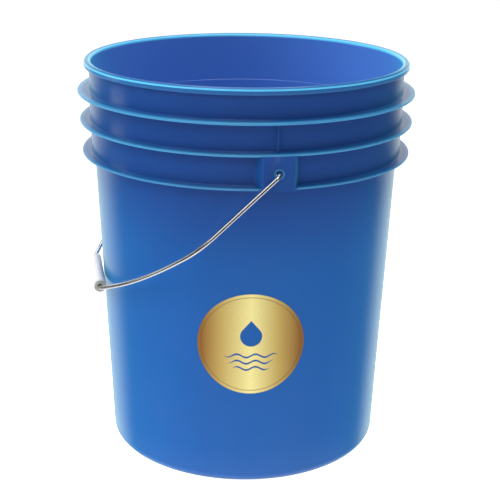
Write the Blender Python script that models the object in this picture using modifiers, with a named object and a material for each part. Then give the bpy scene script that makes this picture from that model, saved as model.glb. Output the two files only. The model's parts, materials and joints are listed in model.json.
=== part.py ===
"""Five-gallon wash bucket: an injection-moulded pail, its swinging wire bail, the grip on the bail
and a round foil label. Metres, +Z up, origin at the centre of the foot. The two ears stand on -Y and
+Y, and the bail hangs down on the -X side, its grip against the wall."""

import math

import bmesh
import bpy
from mathutils import Matrix, Vector

# Pail: a tapered wall on a recessed base, with a rolled rim and three flanges round its neck.
PAIL_HEIGHT = 0.3746
RIM_RADIUS = 0.1511
RIM_OVERHANG = 0.0045
RIM_HEIGHT = 0.0064
RIM_ROUND = 0.0020
WALL = 0.0023
WALL_TAPER = 0.0160
LOWER_NECK_STEP = 0.0007
INNER_LEDGE_DEPTH = 0.0476
INNER_LEDGE = 0.0004

# Flanges, from the top: how far each lies below the rim or the one above, and how far it stands out.
FLANGES = ((0.0290, 0.0109), (0.0270, 0.0093), (0.0293, 0.0077))
FLANGE_THICKNESS = 0.0021

# Foot: a rounded heel, a ring that stands on the floor, and a base plate held clear of the floor.
HEEL_ROUND = 0.0045
FOOT_WIDTH = 0.0050
BASE_CLEARANCE = 0.0040
BASE_THICKNESS = 0.0025
BASE_CORNER = 0.0060

# Bail: one round wire, hooked through both ears, and passed through the grip.
WIRE = 0.0038
WIRE_CLEARANCE = 0.0004
HOOK_BEND = 0.0040
HOOK_TAIL = 0.0075
HOOK_CLEARANCE = 0.0008
LEG_LENGTH = 0.0700
LEG_LEAN = math.radians(1.2)
SHOULDER_RADIUS = 0.0600
SHOULDER_ANGLE = math.radians(36.0)
BOW_ANGLE = math.radians(57.9)
GRIP_RUN = 0.0240
GRIP_BEND = 0.0120

# Grip: a plain tube that turns on the wire.
GRIP_LENGTH = 0.0810
GRIP_DIAMETER = 0.0124
GRIP_BORE_CLEARANCE = 0.0005
GRIP_CHAMFER = 0.0012
GRIP_END_CLEARANCE = 0.0012

# Ears: hollow bosses between the two lower flanges, open below, each with a ringed pivot hole.
EAR_RECESS = 0.0001
EAR_FRONT_WIDTH = 0.0270
EAR_ROOT_WIDTH = 0.0380
EAR_WALL = 0.0023
EAR_DROP = 0.0004
POCKET_BACK_SKIN = 0.0009
PIVOT_DROP = 0.0157
PIVOT_CLEARANCE = 0.0009
PIVOT_RING_WALL = 0.00185
PIVOT_RING_PROUD = 0.0006
WEB_THICKNESS = 0.0018
WEB_PROUD = 0.0034

# Label: a round foil disc, stuck on a little to the left of the near ear.
LABEL_DIAMETER = 0.0970
LABEL_HEIGHT = 0.1420
LABEL_TURN = math.radians(-7.8)
LABEL_THICKNESS = 0.0003

CONTACT_GAP = 0.0003
TURNED_STEPS = 72
GRIP_STEPS = 32
HOLE_SIDES = 32
LABEL_SIDES = 64
SHARP_ANGLE = math.radians(30)
MERGE_DISTANCE = 0.00002
NUDGE = 0.001


def clear_scene():
    for old in list(bpy.data.objects):
        bpy.data.objects.remove(old, do_unlink=True)


def new_collection(name, hidden=False):
    collection = bpy.data.collections.new(name)
    bpy.context.scene.collection.children.link(collection)
    collection.hide_render = hidden
    return collection


def material(name, colour, roughness, metallic=0.0):
    made = bpy.data.materials.new(name)
    made.use_nodes = True
    shader = made.node_tree.nodes["Principled BSDF"]
    shader.inputs["Base Color"].default_value = (*colour, 1.0)
    shader.inputs["Roughness"].default_value = roughness
    shader.inputs["Metallic"].default_value = metallic
    return made


def arc(centre, radius, start, end, count):
    """Points on an arc, as (radius from the axis, height) pairs, both ends included."""
    angles = [math.radians(start + (end - start) * i / count) for i in range(count + 1)]
    return [(centre[0] + radius * math.cos(a), centre[1] + radius * math.sin(a)) for a in angles]


def turned(name, profile, collection, closed=False, steps=TURNED_STEPS):
    """A turned solid from (radius, height) pairs that run up the inside and down the outside."""
    mesh = bpy.data.meshes.new(name)
    edges = [(i, i + 1) for i in range(len(profile) - 1)]
    if closed:
        edges.append((len(profile) - 1, 0))
    mesh.from_pydata([(r, 0.0, z) for r, z in profile], edges, [])
    body = bpy.data.objects.new(name, mesh)
    collection.objects.link(body)
    screw = body.modifiers.new("Turn", "SCREW")
    screw.axis = "Z"
    screw.angle = 2 * math.pi
    screw.steps = steps
    screw.render_steps = steps
    screw.use_merge_vertices = True
    screw.merge_threshold = MERGE_DISTANCE
    screw.use_smooth_shade = False
    return body


def as_mesh(source):
    """The evaluated shape of an object as a plain, welded mesh object of the same name."""
    bpy.context.view_layer.update()
    graph = bpy.context.evaluated_depsgraph_get()
    mesh = bpy.data.meshes.new_from_object(source.evaluated_get(graph))
    shape = bmesh.new()
    shape.from_mesh(mesh)
    bmesh.ops.remove_doubles(shape, verts=shape.verts, dist=MERGE_DISTANCE)
    bmesh.ops.recalc_face_normals(shape, faces=shape.faces)
    shape.to_mesh(mesh)
    shape.free()
    name = source.name
    matrix = source.matrix_world.copy()
    home = source.users_collection[0]
    bpy.data.objects.remove(source, do_unlink=True)
    made = bpy.data.objects.new(name, mesh)
    made.matrix_world = matrix
    home.objects.link(made)
    return made


def smoothed(body):
    """Round faces shaded smooth, with the real corners kept sharp."""
    body.data.shade_smooth()
    body.data.set_sharp_from_angle(angle=SHARP_ANGLE)
    return body


def extruded(name, outline, bottom, top, collection):
    """A flat outline, as (x, y) pairs, drawn out upright between two heights."""
    curve = bpy.data.curves.new(name, "CURVE")
    curve.dimensions = "2D"
    curve.fill_mode = "BOTH"
    curve.extrude = (top - bottom) / 2
    spline = curve.splines.new("POLY")
    spline.points.add(len(outline) - 1)
    for point, (x, y) in zip(spline.points, outline):
        point.co = (x, y, 0.0, 1.0)
    spline.use_cyclic_u = True
    body = bpy.data.objects.new(name, curve)
    body.location.z = (bottom + top) / 2
    collection.objects.link(body)
    return as_mesh(body)


def cylinder_along_y(name, radius, near, far, height, collection):
    """A cylinder lying along Y, between two places on it."""
    shape = bmesh.new()
    length = abs(far - near)
    bmesh.ops.create_cone(
        shape, cap_ends=True, segments=HOLE_SIDES, radius1=radius, radius2=radius, depth=length
    )
    mesh = bpy.data.meshes.new(name)
    shape.to_mesh(mesh)
    shape.free()
    body = bpy.data.objects.new(name, mesh)
    body.rotation_euler.x = math.pi / 2
    body.location = (0.0, (near + far) / 2, height)
    collection.objects.link(body)
    return body


def boolean(target, operation, operand):
    cut = target.modifiers.new(operation.title(), "BOOLEAN")
    cut.operation = operation
    cut.solver = "EXACT"
    if isinstance(operand, bpy.types.Collection):
        cut.operand_type = "COLLECTION"
        cut.collection = operand
    else:
        cut.object = operand


def neck_radius():
    """Outer radius of the neck, above the middle flange."""
    return RIM_RADIUS - RIM_OVERHANG


def lower_neck_radius():
    """Outer radius of the neck between the two lower flanges, where the ears are."""
    return neck_radius() - LOWER_NECK_STEP


def wall_radius(height):
    """Outer radius of the tapered wall at a height above the floor."""
    return neck_radius() - WALL_TAPER * (1 - height / PAIL_HEIGHT)


def flange_middle(index):
    return PAIL_HEIGHT - sum(drop for drop, _ in FLANGES[: index + 1])


def flange_radius(index):
    return neck_radius() + FLANGES[index][1]


def ear_front():
    """Distance of each ear's flat front from the pail's axis."""
    return flange_radius(1) - EAR_RECESS


def pocket_back():
    """Distance of the back of each ear's pocket from the pail's axis."""
    return lower_neck_radius() + POCKET_BACK_SKIN


def pivot_height():
    return flange_middle(1) - PIVOT_DROP


def pail_profile():
    """The pail's half section, from the middle of the inner floor, over the rim, to the middle below."""
    floor_top = BASE_CLEARANCE + BASE_THICKNESS
    ledge = PAIL_HEIGHT - INNER_LEDGE_DEPTH
    corner_centre = (
        wall_radius(floor_top + BASE_CORNER) - WALL - BASE_CORNER,
        floor_top + BASE_CORNER,
    )
    rim_inside = wall_radius(PAIL_HEIGHT) - WALL + INNER_LEDGE
    rim_under = PAIL_HEIGHT - RIM_HEIGHT
    round_inner = (rim_inside + RIM_ROUND, PAIL_HEIGHT - RIM_ROUND)
    round_outer = (RIM_RADIUS - RIM_ROUND, PAIL_HEIGHT - RIM_ROUND)

    points = [(0.0, floor_top)]
    points += arc(corner_centre, BASE_CORNER, -90, 0, 4)
    points += [
        (wall_radius(ledge - INNER_LEDGE) - WALL, ledge - INNER_LEDGE),
        (wall_radius(ledge) - WALL + INNER_LEDGE, ledge),
    ]
    points += arc(round_inner, RIM_ROUND, 180, 90, 3)
    points += arc(round_outer, RIM_ROUND, 90, 0, 3)
    points += [(RIM_RADIUS, rim_under), (neck_radius(), rim_under)]

    half = FLANGE_THICKNESS / 2
    above = (neck_radius(), neck_radius(), lower_neck_radius())
    below = (neck_radius(), lower_neck_radius(), wall_radius(flange_middle(2) - half))
    for index in range(len(FLANGES)):
        radius, middle = flange_radius(index), flange_middle(index)
        points += [
            (above[index], middle + half),
            (radius, middle + half),
            (radius, middle - half),
            (below[index], middle - half),
        ]

    heel_centre = (wall_radius(HEEL_ROUND) - HEEL_ROUND, HEEL_ROUND)
    points += arc(heel_centre, HEEL_ROUND, 0, -90, 4)
    foot_inside = heel_centre[0] - FOOT_WIDTH
    points += [
        (foot_inside, 0.0),
        (foot_inside - BASE_CLEARANCE / 2, BASE_CLEARANCE),
        (0.0, BASE_CLEARANCE),
    ]
    return points


def trapezoid(front, front_width, back, back_width, side):
    """A plan outline across one ear; side is -1 on the near ear and 1 on the far one."""
    outline = [
        (-front_width / 2, front),
        (front_width / 2, front),
        (back_width / 2, back),
        (-back_width / 2, back),
    ]
    return [(x, side * y) for x, y in outline]


def add_ear(name, side, solids, cutters):
    """One ear: its block, pivot ring and upper web to join on, and its pocket and hole to cut out."""
    half = FLANGE_THICKNESS / 2
    bottom = flange_middle(2) - half - EAR_DROP
    front = ear_front()
    root = lower_neck_radius() - WALL / 2
    block = trapezoid(front, EAR_FRONT_WIDTH, root, EAR_ROOT_WIDTH, side)
    extruded(name + "_block", block, bottom, flange_middle(1), solids)

    hole = WIRE / 2 + PIVOT_CLEARANCE
    ring = hole + PIVOT_RING_WALL
    ring_out = side * (front + PIVOT_RING_PROUD)
    ring_in = side * (front - EAR_WALL / 2)
    cylinder_along_y(name + "_ring", ring, ring_in, ring_out, pivot_height(), solids)

    web = trapezoid(neck_radius() + WEB_PROUD, WEB_THICKNESS, root, WEB_THICKNESS, side)
    extruded(name + "_web", web, flange_middle(1), flange_middle(0), solids)

    slope = (EAR_ROOT_WIDTH - EAR_FRONT_WIDTH) / (front - root)
    pocket_front = front - EAR_WALL
    front_width = EAR_FRONT_WIDTH + slope * EAR_WALL - 2 * EAR_WALL
    back_width = front_width + slope * (pocket_front - pocket_back())
    pocket = trapezoid(pocket_front, front_width, pocket_back(), back_width, side)
    extruded(name + "_pocket", pocket, bottom - NUDGE, flange_middle(1) - half, cutters)

    hole_in = side * (pocket_front - NUDGE)
    hole_out = ring_out + side * NUDGE
    cylinder_along_y(name + "_hole", hole, hole_in, hole_out, pivot_height(), cutters)


def make_pail(parts, helpers):
    solids = bpy.data.collections.new("ear_solids")
    cutters = bpy.data.collections.new("ear_cutters")
    for collection in (solids, cutters):
        helpers.children.link(collection)
    add_ear("near_ear", -1, solids, cutters)
    add_ear("far_ear", 1, solids, cutters)
    pail = turned("pail_body", pail_profile(), parts)
    boolean(pail, "UNION", solids)
    boolean(pail, "DIFFERENCE", cutters)
    pail = smoothed(as_mesh(pail))
    for helper in (*solids.objects, *cutters.objects):
        helper.hide_render = True
        helper.display_type = "WIRE"
    pail.data.materials.append(material("blue_polyethylene", (0.022, 0.105, 0.36), 0.32))


def leg_foot():
    """Distance of each leg from the pail's axis at the pivot. The leg leans in as it rises, and
    still clears the top flange as it swings past."""
    widest = max(flange_radius(index) for index in range(len(FLANGES)))
    rise = flange_middle(0) - pivot_height()
    return widest + WIRE / 2 + WIRE_CLEARANCE + rise * math.tan(LEG_LEAN)


def bail_half():
    """Half the wire's centre line, as (distance along the pivot axis, reach from it) pairs, from the
    hook's tip to the middle of the grip. It is walked as straight runs and arcs, heading being the
    angle that the wire has turned from straight up its leg."""
    hook_inner = ear_front() - EAR_WALL
    tail_line = pocket_back() + HOOK_CLEARANCE + WIRE / 2
    tail_bend = hook_inner - tail_line
    points = [(tail_line, HOOK_TAIL)]
    points += arc((hook_inner, tail_bend), tail_bend, 180, 270, 4)
    leg_start = 360 + math.degrees(LEG_LEAN)
    points += arc((leg_foot() - HOOK_BEND, HOOK_BEND), HOOK_BEND, 270, leg_start, 5)
    along, reach = points[-1]

    def straight(length, heading):
        nonlocal along, reach
        along -= length * math.sin(heading)
        reach += length * math.cos(heading)
        points.append((along, reach))

    def bend(radius, start, end, count):
        nonlocal along, reach
        first_along, first_reach = along, reach
        for i in range(1, count + 1):
            heading = start + (end - start) * i / count
            along = first_along - radius * (math.cos(start) - math.cos(heading))
            reach = first_reach + radius * (math.sin(heading) - math.sin(start))
            points.append((along, reach))

    level = math.pi / 2
    grip_mouth = GRIP_LENGTH / 2 + GRIP_END_CLEARANCE
    after_bow = grip_mouth + GRIP_BEND * math.cos(BOW_ANGLE) + GRIP_RUN * math.sin(BOW_ANGLE)
    straight(LEG_LENGTH, LEG_LEAN)
    bend(SHOULDER_RADIUS, LEG_LEAN, SHOULDER_ANGLE, 7)
    bow_radius = (along - after_bow) / (math.cos(SHOULDER_ANGLE) - math.cos(BOW_ANGLE))
    bend(bow_radius, SHOULDER_ANGLE, BOW_ANGLE, 7)
    straight(GRIP_RUN, BOW_ANGLE)
    bend(GRIP_BEND, BOW_ANGLE, level, 4)
    return points


def rest_angle(reach):
    """How far below level the bail hangs when its grip leans on the wall."""
    low, high = 0.0, math.pi / 2
    for _ in range(60):
        angle = (low + high) / 2
        height = pivot_height() - reach * math.sin(angle)
        clear = wall_radius(height) + CONTACT_GAP + GRIP_DIAMETER / 2
        if reach * math.cos(angle) > clear:
            low = angle
        else:
            high = angle
    return low


def make_bail(parts):
    """The wire and its grip, both under an empty on the pivot axis, which holds the resting angle."""
    half = bail_half()
    reach = half[-1][1]
    pivot = bpy.data.objects.new("bail_pivot", None)
    pivot.location.z = pivot_height()
    pivot.rotation_euler.y = -rest_angle(reach)
    parts.objects.link(pivot)

    line = [(-h, -s, 0.0) for s, h in half]
    line += [(-h, s, 0.0) for s, h in reversed(half)]
    curve = bpy.data.curves.new("bail_wire", "CURVE")
    curve.dimensions = "3D"
    curve.bevel_depth = WIRE / 2
    curve.bevel_resolution = 3
    curve.use_fill_caps = True
    spline = curve.splines.new("POLY")
    spline.points.add(len(line) - 1)
    for point, place in zip(spline.points, line):
        point.co = (*place, 1.0)
    wire = bpy.data.objects.new("bail_wire", curve)
    wire.parent = pivot
    parts.objects.link(wire)
    curve.materials.append(material("plated_steel", (0.70, 0.71, 0.72), 0.22, 1.0))

    bore = WIRE / 2 + GRIP_BORE_CLEARANCE
    outside, end = GRIP_DIAMETER / 2, GRIP_LENGTH / 2
    profile = [
        (bore, -end),
        (bore, end),
        (outside - GRIP_CHAMFER, end),
        (outside, end - GRIP_CHAMFER),
        (outside, GRIP_CHAMFER - end),
        (outside - GRIP_CHAMFER, -end),
    ]
    grip = smoothed(as_mesh(turned("grip", profile, parts, closed=True, steps=GRIP_STEPS)))
    grip.parent = pivot
    grip.location.x = -reach
    grip.rotation_euler.x = math.pi / 2
    grip.data.materials.append(material("white_plastic", (0.86, 0.86, 0.85), 0.38))


def make_label(parts, helpers):
    """The round label: a thin coat over the wall, kept only where a round punch meets it."""
    radius = LABEL_DIAMETER / 2
    low, high = LABEL_HEIGHT - radius - NUDGE, LABEL_HEIGHT + radius + NUDGE
    inner, outer = CONTACT_GAP, CONTACT_GAP + LABEL_THICKNESS
    profile = [
        (wall_radius(low) + inner, low),
        (wall_radius(high) + inner, high),
        (wall_radius(high) + outer, high),
        (wall_radius(low) + outer, low),
    ]
    label = turned("label", profile, parts, closed=True)
    shape = bmesh.new()
    bmesh.ops.create_cone(
        shape, cap_ends=True, segments=LABEL_SIDES, radius1=radius, radius2=radius, depth=PAIL_HEIGHT
    )
    mesh = bpy.data.meshes.new("label_punch")
    lie_down = Matrix.Rotation(math.pi / 2, 4, "X")
    face_out = Matrix.Rotation(LABEL_TURN, 4, "Z")
    move_out = Matrix.Translation(Vector((0.0, -PAIL_HEIGHT / 2, 0.0)))
    shape.transform(face_out @ move_out @ lie_down)
    shape.to_mesh(mesh)
    shape.free()
    punch = bpy.data.objects.new("label_punch", mesh)
    punch.location.z = LABEL_HEIGHT
    punch.hide_render = True
    punch.display_type = "WIRE"
    helpers.objects.link(punch)
    boolean(label, "INTERSECT", punch)
    label = smoothed(as_mesh(label))
    label.data.materials.append(material("gold_foil", (0.83, 0.66, 0.30), 0.30, 1.0))


def main():
    clear_scene()
    parts = new_collection("wash_bucket")
    helpers = new_collection("cutters", hidden=True)
    make_pail(parts, helpers)
    make_bail(parts)
    make_label(parts, helpers)
    bpy.context.view_layer.update()


main()
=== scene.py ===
import json
import math

import bmesh
import bpy
from mathutils import Matrix, Vector


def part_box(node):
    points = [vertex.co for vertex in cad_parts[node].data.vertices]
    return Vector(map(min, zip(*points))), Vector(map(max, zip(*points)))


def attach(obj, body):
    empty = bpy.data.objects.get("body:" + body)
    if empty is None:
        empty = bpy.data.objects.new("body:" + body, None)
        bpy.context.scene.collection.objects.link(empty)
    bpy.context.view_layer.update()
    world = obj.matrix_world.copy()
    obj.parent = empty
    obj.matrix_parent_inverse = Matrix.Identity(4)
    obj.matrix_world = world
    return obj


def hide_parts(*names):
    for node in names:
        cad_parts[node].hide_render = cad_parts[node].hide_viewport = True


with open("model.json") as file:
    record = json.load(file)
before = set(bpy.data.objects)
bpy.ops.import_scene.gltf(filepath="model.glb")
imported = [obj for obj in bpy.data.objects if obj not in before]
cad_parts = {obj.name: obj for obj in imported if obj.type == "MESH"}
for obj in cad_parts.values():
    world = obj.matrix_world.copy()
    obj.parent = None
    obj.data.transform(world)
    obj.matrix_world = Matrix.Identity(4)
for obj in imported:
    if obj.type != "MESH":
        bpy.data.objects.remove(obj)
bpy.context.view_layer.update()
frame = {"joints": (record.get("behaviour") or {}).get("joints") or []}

# ---------------------------------------------------------------------------------------------------
# Pail. One injection-moulded shell of blue high-density polyethylene: a tapered wall on a recessed
# base, a stout rim and three thin flanges round the neck. Its two hollow ears, with their pivot
# rings and the thin webs above them, come out of the same mould.
# ---------------------------------------------------------------------------------------------------

pail_low, pail_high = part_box("pail_body")
PAIL_HEIGHT = pail_high.z
TOP_FLANGE_RADIUS = pail_high.x
PIVOT_HEIGHT = frame["joints"][0]["pos_m"][2]

# Each flange's drop from the rim or the flange above it, and its reach out from the neck.
FLANGES = ((0.0290, 0.0109), (0.0270, 0.0093), (0.0293, 0.0077))
NECK_RADIUS = TOP_FLANGE_RADIUS - FLANGES[0][1]
NECK_STEP = 0.0007
LOWER_NECK_RADIUS = NECK_RADIUS - NECK_STEP
RIM_REACH = 0.0045
RIM_RADIUS = NECK_RADIUS + RIM_REACH
RIM_HEIGHT = 0.0064
RIM_ROUND = 0.0021
RIM_LIP_ROUND = 0.0009
RIM_DIP = 0.0013
RIM_SLOPE = 0.0021
RIM_SLOPE_ROUND = 0.0005
WALL = 0.0023
WALL_TAPER = 0.0160
FLANGE_ROOT = 0.0024
FLANGE_TIP = 0.0019
TIP_ROUND = 0.00075
ROOT_ROUND = 0.0008
LEDGE_DEPTH = 0.0476
LEDGE = 0.0004
HEEL_ROUND = 0.0085
FOOT_WIDTH = 0.0050
BASE_CLEARANCE = 0.0040
BASE_THICKNESS = 0.0025
BASE_CORNER = 0.0060
GATE_RADIUS = 0.0048
GATE_PROUD = 0.0009
BASE_RING_RADIUS = 0.0880
BASE_RING_WIDTH = 0.0030
BASE_RING_DEPTH = 0.0007
BASE_RING_SLOPE = 0.0010
FLOOR_RING_RADIUS = 0.0560
FLOOR_RING_RISE = 0.0003
WALL_ROWS = 14
PAIL_COLUMNS = 360
PAIL_CROWD = 0.7
WELD = 0.000004
ARC_STEP = math.radians(15)
CREASE = math.radians(38)

SKIN = 0.0001
EAR_FRONT = NECK_RADIUS + FLANGES[1][1] - SKIN
EAR_FRONT_WIDTH = 0.0270
EAR_ROOT_WIDTH = 0.0380
EAR_CORNER = 0.0012
EAR_ROOT_ROUND = 0.0012
EAR_ROOT_INSET = 0.0012
EAR_FLARE = 0.0014
EAR_BLEND = 0.0004
EAR_BURIED = 0.0016
EAR_WALL = 0.0023
EAR_DROP = 0.0004
POCKET_ROUND = 0.0008
POCKET_BACK = 0.0009
CUT_OVERRUN = 0.0010
PIVOT_HOLE_RADIUS = 0.0028
PIVOT_RING_RADIUS = 0.00465
PIVOT_RING_PROUD = 0.0006
PIVOT_RING_ROUND = 0.0003
RING_FOOT_ROUND = 0.0005
RING_FOOT_RISE = 0.00002
RING_BACK = 0.0002
HOLE_DEPTH = 0.0030
HOLE_COLUMNS = 64
WEB_THICKNESS = 0.0018
WEB_PROUD = 0.0034
WEB_ROUND = 0.0007
WEB_FLARE = 0.0016
SINK_WIDTH = 0.0022
SINK_DEPTH = 0.00014

PAIL_BLUE = (0.0095, 0.090, 0.343, 1.0)
PAIL_BLUE_PALE = (0.0115, 0.103, 0.384, 1.0)
# Painted shade: the neck and upper wall, and the heel, are darkened towards this blue.
SHADE_BLUE = (0.0125, 0.058, 0.262, 1.0)
# Painted light: this pale blue is painted in as a glow in the flanges and the rim's crest and face, and as
# painted highlights along the rim's line and on the pivot rings.
GLOW_BLUE = (0.100, 0.520, 0.850, 1.0)
# Painted glow on the inside wall.
INSIDE_GLOW_BLUE = (0.080, 0.212, 0.660, 1.0)
FLANGE_GLOW_STRENGTH = 0.45
FLANGE_GLOW_FROM = 0.0038
FLANGE_GLOW_TO = 0.0095
CREST_GLOW = 1.0
CREST_SHADING = 0.85
RIM_LINE_HIGHLIGHT = 1.0
RIM_FACE_LIGHT = 0.13
RING_HIGHLIGHT = 0.22
NECK_SHADE_STRENGTH = 0.85
NECK_SHADE_FROM = 0.53
NECK_SHADE_TO = 0.75
INSIDE_GLOW_STRENGTH = 0.8


def add(tree, kind, inputs=(), **options):
    """Adds a node, sets its options, and fills its inputs with values or other nodes' outputs."""
    node = tree.nodes.new(kind)
    for name, value in options.items():
        setattr(node, name, value)
    for key, value in dict(inputs).items():
        if isinstance(value, bpy.types.NodeSocket):
            tree.links.new(value, node.inputs[key])
        else:
            node.inputs[key].default_value = value
    return node


def calc(tree, operation, *values):
    """The result of one Math node."""
    return add(tree, "ShaderNodeMath", dict(enumerate(values)), operation=operation).outputs[0]


def grow_tree(name, sizes):
    """A new Geometry Nodes tree that takes a shape, the named sizes and a material."""
    tree = bpy.data.node_groups.new(name, "GeometryNodeTree")
    tree.interface.new_socket("Shape", in_out="INPUT", socket_type="NodeSocketGeometry")
    for size, kind in sizes.items():
        tree.interface.new_socket(size, in_out="INPUT", socket_type="NodeSocket" + kind)
    tree.interface.new_socket("Finish", in_out="INPUT", socket_type="NodeSocketMaterial")
    tree.interface.new_socket("Shape", in_out="OUTPUT", socket_type="NodeSocketGeometry")
    return tree, add(tree, "NodeGroupInput").outputs


def end_tree(tree, shape, finish):
    """Closes a tree: the shape shaded smooth, made real, and given its material."""
    smooth = add(tree, "GeometryNodeSetShadeSmooth", {0: shape})
    real = add(tree, "GeometryNodeRealizeInstances", {0: smooth.outputs[0]})
    painted = add(tree, "GeometryNodeSetMaterial", {0: real.outputs[0], "Material": finish})
    add(tree, "NodeGroupOutput", {0: painted.outputs[0]})


def plain_mesh(source):
    """The evaluated mesh of an object, with its modifiers left behind."""
    bpy.context.view_layer.update()
    graph = bpy.context.evaluated_depsgraph_get()
    mesh = bpy.data.meshes.new_from_object(source.evaluated_get(graph))
    source.modifiers.clear()
    return mesh


def new_piece(name, mesh):
    piece = bpy.data.objects.new(name, mesh)
    bpy.context.scene.collection.objects.link(piece)
    return piece


def one_finish(piece, finish):
    """Leaves a piece with a single material slot, used by all of its faces."""
    piece.data.materials.clear()
    piece.data.materials.append(finish)
    for face in piece.data.polygons:
        face.material_index = 0
    return piece


def grown(name, points, edges, tree, sizes):
    """Runs a Geometry Nodes tree on a row of points, and gives the result as a plain object."""
    row = bpy.data.meshes.new(name)
    row.from_pydata(points, edges, [])
    piece = new_piece(name, row)
    modifier = piece.modifiers.new("Grow", "NODES")
    modifier.node_group = tree
    for socket in tree.interface.items_tree:
        if socket.in_out == "INPUT" and socket.name in sizes:
            modifier[socket.identifier] = sizes[socket.name]
    piece.data = plain_mesh(piece)
    return one_finish(piece, sizes["Finish"])


def faced_out(piece):
    """Merges what coincides and turns every face outwards."""
    shape = bmesh.new()
    shape.from_mesh(piece.data)
    bmesh.ops.remove_doubles(shape, verts=shape.verts, dist=WELD)
    bmesh.ops.dissolve_degenerate(shape, edges=shape.edges, dist=WELD / 4)
    bmesh.ops.recalc_face_normals(shape, faces=shape.faces)
    shape.to_mesh(piece.data)
    shape.free()
    piece.data.shade_smooth()
    piece.data.set_sharp_from_angle(angle=CREASE)
    return piece


def rounded(corners, closed=False):
    """An outline from (across, up, radius) corners, each one turned by an arc of its radius."""
    points = []
    for i, (across, up, radius) in enumerate(corners):
        corner = Vector((across, up))
        if not radius:
            points.append(corner)
            continue
        after = corners[(i + 1) % len(corners)]
        heading = (corner - Vector(corners[i - 1][:2])).normalized()
        leaving = (Vector(after[:2]) - corner).normalized()
        turn = math.atan2(heading.cross(leaving), heading.dot(leaving))
        begin = corner - heading * radius * abs(math.tan(turn / 2))
        centre = begin + heading.orthogonal() * math.copysign(radius, turn)
        steps = max(2, math.ceil(abs(turn) / ARC_STEP))
        for k in range(steps + 1):
            points.append(centre + Matrix.Rotation(turn * k / steps, 2) @ (begin - centre))
    if closed:
        points.append(points[0])
    return [(point.x, 0.0, point.y) for point in points]


def turning_tree():
    """Turns a half section round Z. Crowd draws the columns together towards the Y axis."""
    tree, given = grow_tree("turned_section", {"Columns": "Int", "Crowd": "Float", "Weld": "Float"})
    count = add(tree, "GeometryNodeAttributeDomainSize", {0: given["Shape"]}).outputs[0]
    wide = calc(tree, "ADD", given["Columns"], 1.0)
    sheet = add(tree, "GeometryNodeMeshGrid", {"Vertices X": wide, "Vertices Y": count})
    index = add(tree, "GeometryNodeInputIndex").outputs[0]
    row = calc(tree, "MODULO", index, count)
    column = calc(tree, "FLOOR", calc(tree, "DIVIDE", calc(tree, "ADD", index, 0.5), count))
    even = calc(tree, "MULTIPLY", calc(tree, "DIVIDE", column, given["Columns"]), 2 * math.pi)
    shift = calc(tree, "MULTIPLY", given["Crowd"], calc(tree, "SINE", calc(tree, "MULTIPLY", even, 2.0)))
    turn = calc(tree, "ADD", even, calc(tree, "MULTIPLY", shift, 0.5))
    place = add(tree, "GeometryNodeInputPosition").outputs[0]
    point = add(
        tree,
        "GeometryNodeSampleIndex",
        {"Geometry": given["Shape"], "Value": place, "Index": row},
        data_type="FLOAT_VECTOR",
    )
    parts = add(tree, "ShaderNodeSeparateXYZ", {0: point.outputs[0]}).outputs
    across = calc(tree, "MULTIPLY", parts[0], calc(tree, "COSINE", turn))
    deep = calc(tree, "MULTIPLY", parts[0], calc(tree, "SINE", turn))
    moved = add(tree, "ShaderNodeCombineXYZ", {0: across, 1: deep, 2: parts[2]})
    turned = add(tree, "GeometryNodeSetPosition", {0: sheet.outputs[0], "Position": moved.outputs[0]})
    whole = add(tree, "GeometryNodeMergeByDistance", {0: turned.outputs[0], "Distance": given["Weld"]})
    end_tree(tree, whole.outputs[0], given["Finish"])
    return tree


def wall_radius(height):
    """Outer radius of the tapered wall at a height."""
    return NECK_RADIUS - WALL_TAPER * (1 - height / PAIL_HEIGHT)


def flange_middle(index):
    """Height of the middle of a flange, counted from the top one."""
    return PAIL_HEIGHT - sum(drop for drop, _ in FLANGES[: index + 1])


def flange_radius(index):
    return NECK_RADIUS + FLANGES[index][1]


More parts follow.
